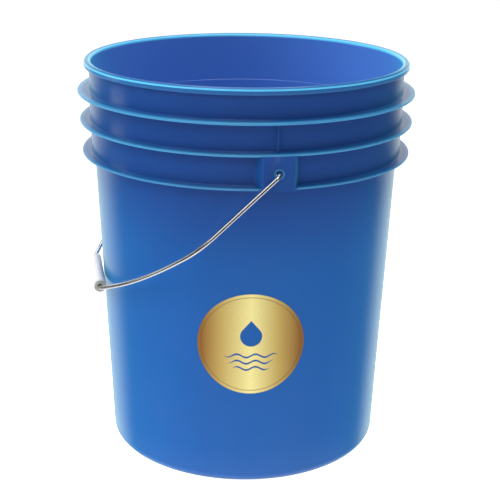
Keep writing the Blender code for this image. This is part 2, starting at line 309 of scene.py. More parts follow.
def pail_section():
    """The half section: inner floor, up the inside, over the rim, down the flanges and wall, foot."""
    floor = BASE_CLEARANCE + BASE_THICKNESS
    ledge = PAIL_HEIGHT - LEDGE_DEPTH
    inside = wall_radius(PAIL_HEIGHT) - WALL + LEDGE
    corners = [
        (0.0, floor, 0),
        (FLOOR_RING_RADIUS, floor, 0),
        (FLOOR_RING_RADIUS + FLOOR_RING_RISE, floor + FLOOR_RING_RISE, 0),
        (FLOOR_RING_RADIUS + 4 * FLOOR_RING_RISE, floor + FLOOR_RING_RISE, 0),
        (FLOOR_RING_RADIUS + 5 * FLOOR_RING_RISE, floor, 0),
        (wall_radius(floor) - WALL, floor, BASE_CORNER),
    ]
    for k in range(1, WALL_ROWS):
        height = floor + (ledge - floor) * k / WALL_ROWS
        corners.append((wall_radius(height) - WALL, height, 0))
    corners += [
        (wall_radius(ledge) - WALL, ledge - LEDGE, 0),
        (wall_radius(ledge) - WALL + LEDGE, ledge, 0),
    ]
    for k in range(1, WALL_ROWS):
        height = ledge + (PAIL_HEIGHT - RIM_ROUND - ledge) * k / WALL_ROWS
        corners.append((wall_radius(height) - WALL + LEDGE, height, 0))
    corners += [
        (inside, PAIL_HEIGHT - RIM_DIP, RIM_ROUND),
        (RIM_RADIUS - RIM_SLOPE, PAIL_HEIGHT, 2 * RIM_SLOPE_ROUND),
        (RIM_RADIUS, PAIL_HEIGHT - RIM_SLOPE, RIM_SLOPE_ROUND),
        (RIM_RADIUS, PAIL_HEIGHT - RIM_HEIGHT, RIM_LIP_ROUND),
        (NECK_RADIUS, PAIL_HEIGHT - RIM_HEIGHT, ROOT_ROUND),
    ]
    above = (NECK_RADIUS, NECK_RADIUS, LOWER_NECK_RADIUS)
    below = (NECK_RADIUS, LOWER_NECK_RADIUS, wall_radius(flange_middle(2) - FLANGE_ROOT / 2))
    for index in range(len(FLANGES)):
        middle = flange_middle(index)
        corners += [
            (above[index], middle + FLANGE_ROOT / 2, ROOT_ROUND),
            (flange_radius(index), middle + FLANGE_TIP / 2, TIP_ROUND),
            (flange_radius(index), middle - FLANGE_TIP / 2, TIP_ROUND),
            (below[index], middle - FLANGE_ROOT / 2, ROOT_ROUND),
        ]
    top = flange_middle(2) - FLANGE_ROOT
    for k in range(1, WALL_ROWS):
        height = top + (2 * HEEL_ROUND - top) * k / WALL_ROWS
        corners.append((wall_radius(height), height, 0))
    foot_inside = wall_radius(0.0) - HEEL_ROUND - FOOT_WIDTH
    gate = BASE_CLEARANCE - GATE_PROUD
    ring = BASE_CLEARANCE - BASE_RING_DEPTH
    corners += [
        (wall_radius(0.0), 0.0, HEEL_ROUND),
        (foot_inside, 0.0, ROOT_ROUND),
        (foot_inside - BASE_CLEARANCE / 2, BASE_CLEARANCE, ROOT_ROUND),
        (BASE_RING_RADIUS + BASE_RING_WIDTH + BASE_RING_SLOPE, BASE_CLEARANCE, 0),
        (BASE_RING_RADIUS + BASE_RING_WIDTH, ring, 0),
        (BASE_RING_RADIUS, ring, 0),
        (BASE_RING_RADIUS - BASE_RING_SLOPE, BASE_CLEARANCE, 0),
        (GATE_RADIUS + GATE_PROUD, BASE_CLEARANCE, 0),
        (GATE_RADIUS, gate, 0),
        (GATE_RADIUS / 3, gate, 0),
        (GATE_RADIUS / 4, gate - GATE_PROUD / 2, 0),
        (0.0, gate - GATE_PROUD / 2, 0),
    ]
    return rounded(corners)


def upright(name, outline, low, high):
    """A closed outline in plan, drawn up between two heights."""
    shape = bmesh.new()
    ring = [shape.verts.new((across, deep, low)) for across, _, deep in outline]
    face = shape.faces.new(ring)
    raised = bmesh.ops.extrude_face_region(shape, geom=[face])["geom"]
    moved = [item for item in raised if isinstance(item, bmesh.types.BMVert)]
    bmesh.ops.translate(shape, vec=(0, 0, high - low), verts=moved)
    bmesh.ops.recalc_face_normals(shape, faces=shape.faces)
    mesh = bpy.data.meshes.new(name)
    shape.to_mesh(mesh)
    shape.free()
    return new_piece(name, mesh)


def mirrored(half, side):
    """A plan outline from one half of it, facing out on the given side of the pail."""
    corners = [(-x, y * side, r) for x, y, r in half]
    corners += [(x, y * side, r) for x, y, r in reversed(half)]
    return rounded(corners)


def ear_outline(side):
    """Plan of an ear: flat front, leaning sides, and roots that flare into the neck."""
    root = LOWER_NECK_RADIUS + SKIN
    buried = LOWER_NECK_RADIUS - WALL / 2 - EAR_BURIED
    reach = EAR_ROOT_WIDTH / 2 - EAR_ROOT_INSET
    flare = reach + EAR_FLARE
    half = [(EAR_FRONT_WIDTH / 2, EAR_FRONT, EAR_CORNER), (reach, root, EAR_ROOT_ROUND)]
    half += [(flare, root - EAR_BLEND, 0), (flare, buried, 0)]
    return mirrored(half, side)


def pocket_outline(side):
    """Plan of the hollow behind an ear's front."""
    back = LOWER_NECK_RADIUS + POCKET_BACK
    front = EAR_FRONT - EAR_WALL
    slope = (EAR_ROOT_WIDTH - EAR_FRONT_WIDTH) / (EAR_FRONT - LOWER_NECK_RADIUS)
    narrow = (EAR_FRONT_WIDTH + slope * EAR_WALL) / 2 - EAR_WALL
    wide = narrow + slope * (front - back) / 2
    half = [(narrow, front, POCKET_ROUND), (wide, back, POCKET_ROUND)]
    return mirrored(half, side)


def web_outline(side):
    """Plan of the thin web above an ear, rounded along its front and flared where it meets the neck."""
    half = [
        (WEB_THICKNESS / 2, NECK_RADIUS + WEB_PROUD, WEB_ROUND),
        (WEB_THICKNESS / 2, NECK_RADIUS, ROOT_ROUND),
        (WEB_THICKNESS / 2 + WEB_FLARE, NECK_RADIUS - SKIN, 0),
        (WEB_THICKNESS / 2 + WEB_FLARE, NECK_RADIUS - WALL / 2, 0),
    ]
    return mirrored(half, side)


def lying(name, section, tree, side, columns):
    """A small turned solid, laid along Y on the pivot axis and facing out of its ear."""
    edges = [(i, i + 1) for i in range(len(section) - 1)]
    sizes = {"Columns": columns, "Crowd": 0.0, "Weld": WELD, "Finish": pail_finish}
    piece = grown(name, section, edges, tree, sizes)
    lay = Matrix.Translation((0, 0, PIVOT_HEIGHT)) @ Matrix.Rotation(-side * math.pi / 2, 4, "X")
    piece.data.transform(lay)
    return faced_out(piece)


def join_or_cut(target, operation, tools):
    """Unites the target with a group of solids, or cuts them from it, and clears them away."""
    group = bpy.data.collections.new("tools")
    for tool in tools:
        one_finish(tool, target.data.materials[0])
        group.objects.link(tool)
    change = target.modifiers.new(operation, "BOOLEAN")
    change.operation = operation
    change.solver = "MANIFOLD"
    change.operand_type = "COLLECTION"
    change.collection = group
    target.data = plain_mesh(target)
    for tool in tools:
        bpy.data.objects.remove(tool)
    bpy.data.collections.remove(group)


def sink_mark(vertex):
    """How far the inner wall has sunk, where a web stands behind it."""
    across, deep, height = vertex
    reach = math.hypot(across, deep)
    if reach > NECK_RADIUS - WALL / 2 or not flange_middle(1) < height < flange_middle(0):
        return 0.0
    rise = math.sin(math.pi * (height - flange_middle(1)) / (flange_middle(0) - flange_middle(1)))
    return SINK_DEPTH * rise * math.exp(-((across / SINK_WIDTH) ** 2))


def smooth_step(tree, value, low, high):
    """A soft change from 0 to 1 as a value passes from low to high."""
    inputs = {"Value": value, "From Min": low, "From Max": high}
    return add(tree, "ShaderNodeMapRange", inputs, interpolation_type="SMOOTHSTEP").outputs[0]


def blend_colour(tree, share, under, over):
    inputs = {"Factor": share, 6: under, 7: over}
    return add(tree, "ShaderNodeMix", inputs, data_type="RGBA").outputs[2]


def times(tree, first, second):
    return calc(tree, "MULTIPLY", first, second)


def away_from(tree, value, level):
    """How far a value is from a level, either way."""
    return calc(tree, "ABSOLUTE", calc(tree, "SUBTRACT", value, level))


def painted_flange_glow(tree, parts, radius, aside):
    """Painted glow for light through the flanges, most in the three tips. None comes through an ear's
    face, which is backed by its own walls.
    """
    far_out = smooth_step(tree, radius, NECK_RADIUS + FLANGE_GLOW_FROM, NECK_RADIUS + FLANGE_GLOW_TO)
    over_ear = smooth_step(tree, parts[2], flange_middle(1) - FLANGE_TIP / 2, flange_middle(1))
    nearest = PAIL_HEIGHT
    for index in range(len(FLANGES)):
        nearest = calc(tree, "MINIMUM", nearest, away_from(tree, parts[2], flange_middle(index)))
    off_flange = smooth_step(tree, nearest, FLANGE_ROOT / 2, FLANGE_ROOT)
    paling = calc(tree, "SUBTRACT", FLANGE_GLOW_STRENGTH, times(tree, off_flange, FLANGE_GLOW_STRENGTH))
    return times(tree, times(tree, far_out, paling), calc(tree, "MAXIMUM", aside, over_ear))


def painted_rim_light(tree, parts, radius):
    """Painted light on the rim: a glow most in the crest's inner edge, a painted highlight line along the
    slope's foot, and a little painted light in the outer face.
    """
    bore = NECK_RADIUS - WALL + LEDGE
    crest_foot = PAIL_HEIGHT - 1.8 * RIM_ROUND
    top = smooth_step(tree, parts[2], crest_foot, PAIL_HEIGHT - 1.2 * RIM_ROUND)
    outer = smooth_step(tree, radius, bore + 0.8 * RIM_ROUND, bore + 1.4 * RIM_ROUND)
    paling = calc(tree, "SUBTRACT", CREST_GLOW, times(tree, outer, CREST_SHADING))
    crest = times(tree, top, paling)
    # Painted highlight line where the slope meets the outer face.
    from_edge = away_from(tree, parts[2], PAIL_HEIGHT - RIM_SLOPE)
    edge = calc(tree, "SUBTRACT", 1.0, smooth_step(tree, from_edge, RIM_SLOPE / 5, RIM_SLOPE / 2))
    outside = smooth_step(tree, radius, RIM_RADIUS - RIM_SLOPE / 2, RIM_RADIUS - RIM_SLOPE / 4)
    line = times(tree, times(tree, edge, outside), RIM_LINE_HIGHLIGHT)
    on_rim = smooth_step(tree, parts[2], PAIL_HEIGHT - 1.2 * RIM_HEIGHT, PAIL_HEIGHT - RIM_HEIGHT)
    face = times(tree, smooth_step(tree, radius, NECK_RADIUS, RIM_RADIUS), on_rim)
    crest_or_line = calc(tree, "MAXIMUM", crest, line)
    return calc(tree, "MAXIMUM", crest_or_line, times(tree, face, RIM_FACE_LIGHT))


def painted_light(tree, parts, radius):
    """How much painted light the plastic gets: a painted glow in the flanges and the rim, and painted
    highlights on the rim's line and the pivot rings.
    """
    sideways = calc(tree, "ABSOLUTE", parts[0])
    aside = smooth_step(tree, sideways, EAR_FRONT_WIDTH / 2, EAR_ROOT_WIDTH / 2)
    flange = painted_flange_glow(tree, parts, radius, aside)
    rim = painted_rim_light(tree, parts, radius)
    # Painted highlight on the pivot rings where they stand proud of the ears.
    deep = calc(tree, "ABSOLUTE", parts[1])
    proud = smooth_step(tree, deep, EAR_FRONT, EAR_FRONT + PIVOT_RING_PROUD)
    ring = times(tree, times(tree, proud, RING_HIGHLIGHT), calc(tree, "SUBTRACT", 1.0, aside))
    return calc(tree, "MAXIMUM", calc(tree, "MAXIMUM", flange, rim), ring)


def polyethylene():
    """Blue moulded polyethylene: faint upright flow streaks, painted shade on the neck and heel, a painted
    glow on the inside and on the thin edges where light soaks through, painted highlights along the rim
    and on the pivot rings, and a semi-gloss skin with slow waves, fine orange peel and hair scratches. Its
    roughness stays under 0.27 all over, where the gloss renders clean."""
    finish = bpy.data.materials.new("blue_polyethylene")
    finish.use_nodes = True
    tree = finish.node_tree
    shader = tree.nodes["Principled BSDF"]
    place = add(tree, "ShaderNodeTexCoord").outputs["Object"]
    parts = add(tree, "ShaderNodeSeparateXYZ", {0: place}).outputs
    squares = [calc(tree, "POWER", parts[axis], 2.0) for axis in (0, 1)]
    radius = calc(tree, "SQRT", calc(tree, "ADD", *squares))

    drawn = add(tree, "ShaderNodeMapping", {"Vector": place, "Scale": (9.0, 9.0, 1.4)}).outputs[0]
    streaks = add(tree, "ShaderNodeTexNoise", {"Vector": drawn, "Scale": 3.0, "Detail": 5.0}).outputs[0]
    even = blend_colour(tree, streaks, PAIL_BLUE, PAIL_BLUE_PALE)
    # Painted shade: darker from about half height up towards the neck, and at the heel.
    shade_on_neck = smooth_step(tree, parts[2], PAIL_HEIGHT * NECK_SHADE_FROM, PAIL_HEIGHT * NECK_SHADE_TO)
    sunk = times(tree, parts[2], -1.0)
    heel = smooth_step(tree, sunk, -0.8 * HEEL_ROUND, -0.2 * HEEL_ROUND)
    shaded = calc(tree, "MAXIMUM", times(tree, shade_on_neck, NECK_SHADE_STRENGTH), heel)
    pigment_and_shade = blend_colour(tree, shaded, even, SHADE_BLUE)
    leaned = times(tree, parts[2], WALL_TAPER / PAIL_HEIGHT)
    wall_here = calc(tree, "ADD", leaned, wall_radius(0.0))
    depth = calc(tree, "SUBTRACT", wall_here, radius)
    # Painted glow: the inside wall above the floor is blended paler.
    inside = smooth_step(tree, depth, WALL * 0.4, WALL * 0.8)
    above_floor = smooth_step(tree, parts[2], BASE_CLEARANCE, BASE_CLEARANCE + BASE_THICKNESS)
    inside_glow = times(tree, times(tree, inside, above_floor), INSIDE_GLOW_STRENGTH)
    toned = blend_colour(tree, inside_glow, pigment_and_shade, INSIDE_GLOW_BLUE)
    # Painted glow and painted highlights, blended in.
    edged = blend_colour(tree, painted_light(tree, parts, radius), toned, GLOW_BLUE)
    tree.links.new(edged, shader.inputs["Base Color"])

    haze = add(tree, "ShaderNodeTexNoise", {"Vector": place, "Scale": 22.0, "Detail": 6.0}).outputs[0]
    rub = add(tree, "ShaderNodeMapping", {"Vector": place, "Scale": (260.0, 260.0, 9.0)}).outputs[0]
    hairs = add(tree, "ShaderNodeTexNoise", {"Vector": rub, "Scale": 2.0, "Detail": 4.0}).outputs[0]
    gloss = add(
        tree,
        "ShaderNodeMapRange",
        {"Value": haze, "From Min": 0.3, "From Max": 0.7, "To Min": 0.17, "To Max": 0.22},
    ).outputs[0]
    scratched = times(tree, smooth_step(tree, hairs, 0.60, 0.76), 0.04)
    tree.links.new(calc(tree, "ADD", gloss, scratched), shader.inputs["Roughness"])

    peel = add(tree, "ShaderNodeTexNoise", {"Vector": place, "Scale": 300.0, "Detail": 0.0}).outputs[0]
    waves = add(tree, "ShaderNodeTexNoise", {"Vector": drawn, "Scale": 1.1, "Detail": 0.0}).outputs[0]
    skin = calc(tree, "ADD", times(tree, peel, 0.04), waves)
    bump = add(tree, "ShaderNodeBump", {"Height": skin, "Strength": 0.06, "Distance": 0.001})
    tree.links.new(bump.outputs[0], shader.inputs["Normal"])
    shader.inputs["IOR"].default_value = 1.51
    shader.inputs["Specular IOR Level"].default_value = 0.50
    shader.inputs["Sheen Weight"].default_value = 0.30
    shader.inputs["Sheen Roughness"].default_value = 0.4
    shader.inputs["Sheen Tint"].default_value = (0.10, 0.85, 0.75, 1.0)
    return finish


turned_section = turning_tree()
pail_finish = polyethylene()
section = pail_section()
pail = grown(
    "pail",
    section,
    [(i, i + 1) for i in range(len(section) - 1)],
    turned_section,
    {"Columns": PAIL_COLUMNS, "Crowd": PAIL_CROWD, "Weld": WELD, "Finish": pail_finish},
)
faced_out(pail)
for vertex in pail.data.vertices:
    outward = vertex.co.xy.normalized() * sink_mark(vertex.co)
    vertex.co.x += outward.x
    vertex.co.y += outward.y

added, cut = [], []
ear_low = flange_middle(2) - FLANGE_ROOT / 2 - EAR_DROP
for side in (-1, 1):
    added.append(upright("ear", ear_outline(side), ear_low, flange_middle(1)))
    added.append(upright("web", web_outline(side), flange_middle(1), flange_middle(0)))
    ring_in, ring_out = EAR_FRONT - EAR_WALL / 2, EAR_FRONT + PIVOT_RING_PROUD
    ring = rounded(
        [
            (0.0, ring_in, 0),
            (PIVOT_RING_RADIUS + 2 * RING_FOOT_ROUND, ring_in, 0),
            (PIVOT_RING_RADIUS + 2 * RING_FOOT_ROUND, EAR_FRONT, 0),
            (PIVOT_RING_RADIUS, EAR_FRONT + RING_FOOT_RISE, RING_FOOT_ROUND / 2),
            (PIVOT_RING_RADIUS, ring_out, PIVOT_RING_ROUND),
            (PIVOT_HOLE_RADIUS, ring_out, PIVOT_RING_ROUND),
            (PIVOT_HOLE_RADIUS, ring_in + RING_BACK, 0),
            (0.0, ring_in + RING_BACK, 0),
        ]
    )
    added.append(lying("ring", ring, turned_section, side, HOLE_COLUMNS))
    roof = flange_middle(1) - FLANGE_ROOT / 2
    cut.append(upright("pocket", pocket_outline(side), ear_low - CUT_OVERRUN, roof))
    hole = rounded(
        [
            (0.0, LOWER_NECK_RADIUS + HOLE_DEPTH, 0),
            (PIVOT_HOLE_RADIUS, LOWER_NECK_RADIUS + HOLE_DEPTH, 0),
            (PIVOT_HOLE_RADIUS, ring_out + CUT_OVERRUN, 0),
            (0.0, ring_out + CUT_OVERRUN, 0),
        ]
    )
    cut.append(lying("hole", hole, turned_section, side, HOLE_COLUMNS))
join_or_cut(pail, "UNION", added)
join_or_cut(pail, "DIFFERENCE", cut)
faced_out(pail)
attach(pail, "pail")
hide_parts("pail_body")

# ---------------------------------------------------------------------------------------------------
# Bail. One length of bright zinc-plated steel wire, drawn round, bent to a flat bow and hooked through
# both pivot rings, so that it swings over the rim. Its tips turn up inside the ears.
# ---------------------------------------------------------------------------------------------------

WIRE = 0.0038
WIRE_CLEARANCE = 0.0004
HOOK_BEND = 0.0040
HOOK_TAIL = 0.0075
HOOK_CLEARANCE = 0.0008
LEG_LENGTH = 0.0700
LEG_LEAN = math.radians(1.2)
SHOULDER_RADIUS = 0.0600
SHOULDER_ANGLE = math.radians(36.0)
BOW_ANGLE = math.radians(57.9)
GRIP_RUN = 0.0240
GRIP_BEND = 0.0120
GRIP_END_CLEARANCE = 0.0012
BEND_STEP = math.radians(3)
STRAIGHT_STEP = 0.006
WIRE_SIDES = 28
TIP_TAPER = 0.0007
TIP_SIZE = 0.74

grip_low, grip_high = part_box("grip")
grip_centre = (grip_low + grip_high) / 2
GRIP_LENGTH = grip_high.y - grip_low.y
hang = Vector((-grip_centre.x, PIVOT_HEIGHT - grip_centre.z))
REST_ANGLE = math.atan2(hang.y, hang.x)


def wire_half():
    """Half the wire's centre line, as (distance along the pivot axis, reach from it) pairs, walked
    from the hook's tip to the middle of the grip."""
    hook_inner = EAR_FRONT - EAR_WALL
    tail_line = LOWER_NECK_RADIUS + POCKET_BACK + HOOK_CLEARANCE + WIRE / 2
    tail_bend = hook_inner - tail_line
    rise = flange_middle(0) - PIVOT_HEIGHT
    leg_foot = flange_radius(0) + WIRE / 2 + WIRE_CLEARANCE + rise * math.tan(LEG_LEAN)
    walk = [Vector((tail_line, HOOK_TAIL))]

    def straight(length, heading):
        steps = max(1, round(length / STRAIGHT_STEP))
        for _ in range(steps):
            walk.append(walk[-1] + Vector((-math.sin(heading), math.cos(heading))) * length / steps)

    def bend(radius, begin, end):
        first = walk[-1]
        steps = max(1, round(abs(end - begin) / BEND_STEP))
        sense = math.copysign(radius, end - begin)
        for k in range(1, steps + 1):
            heading = begin + (end - begin) * k / steps
            across = sense * (math.cos(heading) - math.cos(begin))
            up = sense * (math.sin(heading) - math.sin(begin))
            walk.append(first + Vector((across, up)))

    quarter = math.pi / 2
    straight(HOOK_TAIL - tail_bend, math.pi)
    bend(tail_bend, -math.pi, -quarter)
    straight(leg_foot - HOOK_BEND - hook_inner, -quarter)
    bend(HOOK_BEND, -quarter, LEG_LEAN)
    straight(LEG_LENGTH, LEG_LEAN)
    bend(SHOULDER_RADIUS, LEG_LEAN, SHOULDER_ANGLE)
    grip_mouth = GRIP_LENGTH / 2 + GRIP_END_CLEARANCE
    after_bow = grip_mouth + GRIP_BEND * math.cos(BOW_ANGLE) + GRIP_RUN * math.sin(BOW_ANGLE)
    bow_radius = (walk[-1].x - after_bow) / (math.cos(SHOULDER_ANGLE) - math.cos(BOW_ANGLE))
    bend(bow_radius, SHOULDER_ANGLE, BOW_ANGLE)
    straight(GRIP_RUN, BOW_ANGLE)
    bend(GRIP_BEND, BOW_ANGLE, quarter)
    straight(grip_mouth, quarter)
    return walk


def drawing_tree():
    """Sweeps a round wire along a path, and keeps for each point how far along and round it lies."""
    tree, given = grow_tree("drawn_wire", {"Radius": "Float", "Sides": "Int", "Taper": "Float"})
    path = add(tree, "GeometryNodeMeshToCurve", {0: given["Shape"]}).outputs[0]
    spline = add(tree, "GeometryNodeSplineParameter").outputs
    length = add(tree, "GeometryNodeSplineLength").outputs["Length"]
    to_end = calc(tree, "MINIMUM", spline["Length"], calc(tree, "SUBTRACT", length, spline["Length"]))
    size = add(
        tree,
        "ShaderNodeMapRange",
        {"Value": to_end, "From Min": 0.0, "From Max": given["Taper"], "To Min": TIP_SIZE, "To Max": 1.0},
    )
    shaped = add(tree, "GeometryNodeSetCurveRadius", {0: path, "Radius": size.outputs[0]}).outputs[0]
    marked = add(
        tree,
        "GeometryNodeStoreNamedAttribute",
        {"Geometry": shaped, "Name": "along", "Value": spline["Length"]},
    ).outputs[0]
    ring = add(
        tree, "GeometryNodeCurvePrimitiveCircle", {"Resolution": given["Sides"], "Radius": given["Radius"]}
    ).outputs[0]
    place = add(tree, "GeometryNodeInputPosition").outputs[0]
    round_it = add(tree, "ShaderNodeVectorMath", {0: place}, operation="NORMALIZE").outputs[0]
    ringed = add(
        tree,
        "GeometryNodeStoreNamedAttribute",
        {"Geometry": ring, "Name": "around", "Value": round_it},
        data_type="FLOAT_VECTOR",
    ).outputs[0]
    swept = add(
        tree, "GeometryNodeCurveToMesh", {"Curve": marked, "Profile Curve": ringed, "Fill Caps": True}
    )
    if "Scale" in swept.inputs:
        tree.links.new(size.outputs[0], swept.inputs["Scale"])
    end_tree(tree, swept.outputs[0], given["Finish"])
    return tree


def plated_steel():
    """Bright zinc plate over drawn wire: fine die lines along the wire, and duller cloudy patches."""
    finish = bpy.data.materials.new("zinc_plated_wire")
    finish.use_nodes = True
    tree = finish.node_tree
    shader = tree.nodes["Principled BSDF"]
    along = add(tree, "ShaderNodeAttribute", attribute_name="along").outputs["Fac"]
    around = add(tree, "ShaderNodeAttribute", attribute_name="around").outputs["Vector"]
    parts = add(tree, "ShaderNodeSeparateXYZ", {0: around}).outputs
    slow = calc(tree, "MULTIPLY", along, 6.0)
    drawn = add(tree, "ShaderNodeCombineXYZ", {0: parts[0], 1: parts[1], 2: slow}).outputs[0]
    lines = add(tree, "ShaderNodeTexNoise", {"Vector": drawn, "Scale": 9.0, "Detail": 4.0})
    place = add(tree, "ShaderNodeTexCoord").outputs["Object"]
    cloud = add(tree, "ShaderNodeTexNoise", {"Vector": place, "Scale": 90.0, "Detail": 5.0})
    tone = add(
        tree,
        "ShaderNodeMix",
        {"Factor": cloud.outputs[0], 6: (0.72, 0.725, 0.74, 1.0), 7: (0.93, 0.935, 0.94, 1.0)},
        data_type="RGBA",
    )
    tree.links.new(tone.outputs[2], shader.inputs["Base Color"])
    rough = add(
        tree,
        "ShaderNodeMapRange",
        {"Value": lines.outputs[0], "From Min": 0.3, "From Max": 0.7, "To Min": 0.12, "To Max": 0.26},
    )
    tree.links.new(rough.outputs[0], shader.inputs["Roughness"])
    bump = add(tree, "ShaderNodeBump", {"Height": lines.outputs[0], "Strength": 0.25, "Distance": 0.0001})
    tree.links.new(bump.outputs[0], shader.inputs["Normal"])
    shader.inputs["Metallic"].default_value = 1.0
    return finish


half = wire_half()
path = [(-point.y, -point.x, 0.0) for point in half]
path += [(-point.y, point.x, 0.0) for point in reversed(half[:-1])]
bail = grown(
    "bail",
    path,
    [(i, i + 1) for i in range(len(path) - 1)],
    drawing_tree(),
    {"Radius": WIRE / 2, "Sides": WIRE_SIDES, "Taper": TIP_TAPER, "Finish": plated_steel()},
)
hung = Matrix.Translation((0, 0, PIVOT_HEIGHT)) @ Matrix.Rotation(-REST_ANGLE, 4, "Y")
bail.data.transform(hung)
faced_out(bail)
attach(bail, "bail")
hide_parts("bail_wire")

# ---------------------------------------------------------------------------------------------------
# Grip. A moulded tube of white plastic, threaded on the bail before the wire is bent. It turns freely
# on the wire; its ends are rounded, and its mould left two fine lines along it.
# ---------------------------------------------------------------------------------------------------

GRIP_RADIUS = (grip_high.z - grip_low.z) / 2
GRIP_BORE = WIRE / 2 + 0.0003
GRIP_ROUND = 0.0016
BORE_ROUND = 0.0004
GRIP_WAIST = 0.00015
GRIP_ROWS = 16
GRIP_COLUMNS = 128
GRIP_CROWD = 0.6
LINE_RISE = 0.00008
LINE_WIDTH = 0.00045


def grip_section():
    """The grip's half section: bore, rounded end, faintly waisted outside, rounded end."""
    end = GRIP_LENGTH / 2
    corners = [
        (GRIP_BORE, -end, BORE_ROUND),
        (GRIP_BORE, end, BORE_ROUND),
        (GRIP_RADIUS, end, GRIP_ROUND),
    ]
    for k in range(GRIP_ROWS + 1):
        height = (end - 2 * GRIP_ROUND) * (1 - 2 * k / GRIP_ROWS)
        waist = GRIP_WAIST * (1 - (height / end) ** 2)
        corners.append((GRIP_RADIUS - LINE_RISE - waist, height, 0))
    corners.append((GRIP_RADIUS, -end, GRIP_ROUND))
    return rounded(corners, closed=True)


def white_plastic():
    """Natural white plastic, a little waxy, with handling haze, faint dirt near its ends, and painted
    shade on its end faces.
    """
    finish = bpy.data.materials.new("white_grip_plastic")
    finish.use_nodes = True
    tree = finish.node_tree
    shader = tree.nodes["Principled BSDF"]
    place = add(tree, "ShaderNodeTexCoord").outputs["Object"]
    cloud = add(tree, "ShaderNodeTexNoise", {"Vector": place, "Scale": 60.0, "Detail": 6.0})
    deep = add(tree, "ShaderNodeSeparateXYZ", {0: place}).outputs[1]
    to_end = calc(tree, "DIVIDE", calc(tree, "ABSOLUTE", deep), GRIP_LENGTH / 2)
    near_end = calc(tree, "MULTIPLY", smooth_step(tree, to_end, 0.86, 1.0), cloud.outputs[0])
    # Painted shade on the end faces, mixed below with the real dirt near the ends.
    end_face_shade = calc(tree, "MULTIPLY", smooth_step(tree, to_end, 0.975, 0.998), 0.8)
    grime_and_shade = calc(tree, "MAXIMUM", calc(tree, "MULTIPLY", near_end, 0.55), end_face_shade)
    tone = add(
        tree,
        "ShaderNodeMix",
        {"Factor": grime_and_shade, 6: (0.78, 0.78, 0.77, 1.0), 7: (0.30, 0.30, 0.24, 1.0)},
        data_type="RGBA",
    )
    tree.links.new(tone.outputs[2], shader.inputs["Base Color"])
    rough = add(
        tree,
        "ShaderNodeMapRange",
        {"Value": cloud.outputs[0], "From Min": 0.3, "From Max": 0.7, "To Min": 0.32, "To Max": 0.48},
    )
    tree.links.new(rough.outputs[0], shader.inputs["Roughness"])
    grain = add(tree, "ShaderNodeTexNoise", {"Vector": place, "Scale": 900.0, "Detail": 2.0})
    bump = add(tree, "ShaderNodeBump", {"Height": grain.outputs[0], "Strength": 0.1, "Distance": 0.0002})
    tree.links.new(bump.outputs[0], shader.inputs["Normal"])
    shader.inputs["Subsurface Weight"].default_value = 0.15
    shader.inputs["Subsurface Radius"].default_value = (0.003, 0.003, 0.0025)
    return finish


tube = grip_section()
grip = grown(
    "grip_tube",
    tube,
    [(i, i + 1) for i in range(len(tube) - 1)],
    turned_section,
    {"Columns": GRIP_COLUMNS, "Crowd": GRIP_CROWD, "Weld": WELD, "Finish": white_plastic()},
)
for vertex in grip.data.vertices:
    radius = vertex.co.xy.length
    if radius > GRIP_RADIUS - 3 * GRIP_WAIST and abs(vertex.co.z) < GRIP_LENGTH / 2 - GRIP_ROUND:
        line = LINE_RISE * math.exp(-((vertex.co.x / LINE_WIDTH) ** 2))
        vertex.co.x *= (radius + line) / radius
        vertex.co.y *= (radius + line) / radius
grip.data.transform(Matrix.Translation(grip_centre) @ Matrix.Rotation(math.pi / 2, 4, "X"))
faced_out(grip)
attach(grip, "grip")
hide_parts("grip")

# ---------------------------------------------------------------------------------------------------
# Label. A round sticker of gold foil, stuck on the wall a little to the left of the near ear. A water
# drop over three waves is die-cut from it, so that the blue wall shows through.
# ---------------------------------------------------------------------------------------------------

label_low, label_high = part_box("label")
LABEL_RADIUS = (label_high.z - label_low.z) / 2
LABEL_MIDDLE = (label_high.z + label_low.z) / 2
LABEL_TURN = math.atan2((label_low.x + label_high.x) / 2, -(label_low.y + label_high.y) / 2)
LABEL_THICKNESS = 0.00018
LABEL_LIFT = 0.00002
LABEL_SIDES = 200
STRIP = 0.0022
DROP_RADIUS = 0.0098
DROP_HEIGHT = 0.0250
DROP_RISE = 0.0080
DROP_STEPS = 60
WAVE_HALF = 0.0250
WAVE_SWELL = 0.0016
WAVE_STROKE = 0.0018
WAVE_COUNT = 3
WAVE_SPACING = 0.0062
WAVE_TOP = -0.0110
WAVE_SHORTENING = 0.16
WAVE_STEPS = 72


def disc_outline():
    steps = [2 * math.pi * k / LABEL_SIDES for k in range(LABEL_SIDES)]
    return [(LABEL_RADIUS * math.cos(a), LABEL_RADIUS * math.sin(a)) for a in steps]


def drop_outline():
    """A water drop: most of a circle, closed by two straight flanks that meet in a point."""
    lean = math.asin(DROP_RADIUS / (DROP_HEIGHT - DROP_RADIUS))
    sweep = math.pi + 2 * lean
    outline = [(0.0, DROP_RISE + DROP_HEIGHT - DROP_RADIUS)]
    for k in range(DROP_STEPS + 1):
        a = math.pi - lean + sweep * k / DROP_STEPS
        outline.append((DROP_RADIUS * math.cos(a), DROP_RISE + DROP_RADIUS * math.sin(a)))
    return outline


def wave_outline(level, reach):
    """A wave stroke of even height, with swells, that thins away at both ends."""
    top, under = [], []
    for k in range(WAVE_STEPS + 1):
        share = k / WAVE_STEPS
        across = reach * (2 * share - 1)
        swell = level + WAVE_SWELL * math.sin(across / WAVE_HALF * 3 * math.pi)
        stroke = WAVE_STROKE / 2 * min(1.0, 0.08 + 6 * share * (1 - share))
        top.append((across, swell + stroke))
        under.append((across, swell - stroke))
    return top + under[::-1]


